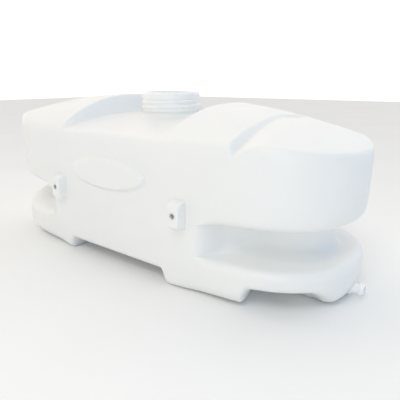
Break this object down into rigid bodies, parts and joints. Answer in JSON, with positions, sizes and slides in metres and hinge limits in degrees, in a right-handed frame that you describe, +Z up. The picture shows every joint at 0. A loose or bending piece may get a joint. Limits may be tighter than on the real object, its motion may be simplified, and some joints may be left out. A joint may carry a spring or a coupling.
{
  "type": "liquid storage tank",
  "caption": "Long moulded plastic tank with an undercut waist, domed top with a well round an open threaded filler neck, threaded lugs and a low hose spigot",
  "frame": {"origin": "under the middle of the whole part, on the plane of the feet", "axes": "+X along the tank towards the end with the hose spigot, +Y towards the rear wall, so the lugs and the oval pad face -Y, +Z up"},
  "size_m": [0.693, 0.283, 0.275],
  "materials": {
    "natural_polyethylene": "natural polyethylene, satin, slightly translucent",
    "neck_polyethylene": "natural polyethylene, satin, slightly translucent",
    "insert_steel": "machined steel, zinc plated, dull"
  },
  "bodies": {
    "root": {"tank_shell": "natural_polyethylene", "filler_neck": "neck_polyethylene", "outlet_spigot": "neck_polyethylene", "lug_insert_left": "insert_steel", "lug_insert_right": "insert_steel"}
  },
  "joints": []
}
